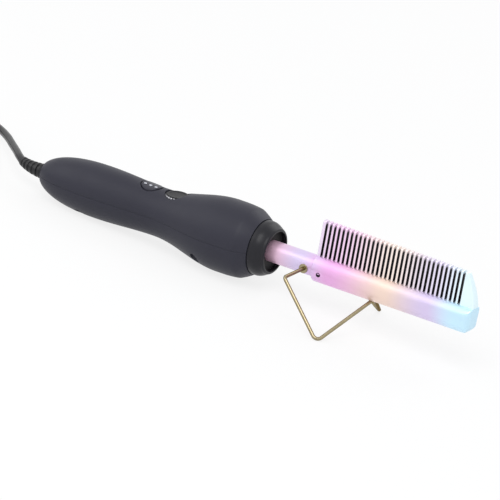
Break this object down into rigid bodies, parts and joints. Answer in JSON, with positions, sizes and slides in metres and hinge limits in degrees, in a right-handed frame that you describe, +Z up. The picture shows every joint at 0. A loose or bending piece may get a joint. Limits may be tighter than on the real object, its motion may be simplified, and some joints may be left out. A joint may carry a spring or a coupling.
{
  "type": "hot comb",
  "caption": "Corded electric hot comb with a moulded handle, a heated metal comb on a round shank, a dial, a button and a folding wire stand.",
  "frame": {"origin": "on the table, under the middle of the comb as it stands, without its cord", "axes": "+X along the comb towards its tip, +Z up; the teeth point up"},
  "size_m": [0.465, 0.1313, 0.0604],
  "materials": {
    "upper_shell": "matte",
    "lower_shell": "matte",
    "shell_screws": "satin",
    "front_ring": "matte",
    "insulator_bush": "matte",
    "tube_flange": "satin",
    "shank_tube": "polished",
    "comb_spine": "polished",
    "comb_teeth": "polished",
    "comb_screw": "satin",
    "heater_rod": "satin",
    "heater_terminal": "matte",
    "heater_leads": "matte",
    "thermal_fuse": "polished",
    "heat_sensor": "gloss",
    "circuit_board": "gloss",
    "board_screws": "satin",
    "board_components": "matte",
    "indicator_leds": "gloss",
    "switch_body": "gloss",
    "switch_plunger": "gloss",
    "power_button": "gloss",
    "light_pips": "gloss",
    "dial_potentiometer": "matte",
    "dial_shaft": "satin",
    "temperature_dial": "gloss",
    "pivot_bushes": "satin",
    "stand_wire": "satin",
    "swivel_collar": "matte",
    "strain_relief": "matte",
    "swivel_spindle": "matte",
    "slip_rings": "satin",
    "brush_holder": "matte",
    "brush_contacts": "satin",
    "supply_leads": "matte",
    "cord_run": "matte",
    "cord_coil": "matte",
    "cord_tail": "matte",
    "cord_tie": "matte",
    "plug_body": "matte",
    "plug_pins": "polished"
  },
  "bodies": {
    "comb": {"upper_shell": "upper_shell", "lower_shell": "lower_shell", "shell_screws": "shell_screws", "front_ring": "front_ring", "insulator_bush": "insulator_bush", "tube_flange": "tube_flange", "shank_tube": "shank_tube", "comb_spine": "comb_spine", "comb_teeth": "comb_teeth", "comb_screw": "comb_screw", "heater_rod": "heater_rod", "heater_terminal": "heater_terminal", "heater_leads": "heater_leads", "thermal_fuse": "thermal_fuse", "heat_sensor": "heat_sensor", "circuit_board": "circuit_board", "board_screws": "board_screws", "board_components": "board_components", "indicator_leds": "indicator_leds", "switch_body": "switch_body", "dial_potentiometer": "dial_potentiometer", "pivot_bushes": "pivot_bushes", "strain_relief": "strain_relief", "brush_holder": "brush_holder", "brush_contacts": "brush_contacts", "supply_leads": "supply_leads", "cord_run": "cord_run", "cord_coil": "cord_coil", "cord_tail": "cord_tail", "cord_tie": "cord_tie", "plug_body": "plug_body", "plug_pins": "plug_pins"},
    "button": {"power_button": "power_button", "light_pips": "light_pips", "switch_plunger": "switch_plunger"},
    "dial": {"temperature_dial": "temperature_dial", "dial_shaft": "dial_shaft"},
    "stand": {"stand_wire": "stand_wire"},
    "cord_swivel": {"swivel_collar": "swivel_collar", "swivel_spindle": "swivel_spindle", "slip_rings": "slip_rings"}
  },
  "joints": [
    {"name": "button_press", "type": "slide", "parent": "comb", "child": "button", "axis": [0.0686, 0, -0.9976], "range_m": [0, 0.0008], "stiffness_N_per_m": 900, "springref_m": -0.0008},
    {"name": "dial_turn", "type": "hinge", "parent": "comb", "child": "dial", "pos_m": [-0.04484, 0, 0.03182], "axis": [0.0686, 0, -0.9976], "range_deg": [0, 270]},
    {"name": "stand_fold", "type": "hinge", "parent": "comb", "child": "stand", "pos_m": [0.04796, 0, 0.02476], "axis": [0, 1, 0], "range_deg": [0, 138]},
    {"name": "cord_turn", "type": "hinge", "parent": "comb", "child": "cord_swivel", "pos_m": [-0.13461, 0, 0.01362], "axis": [0.9976, 0, 0.0686], "continuous": true}
  ]
}
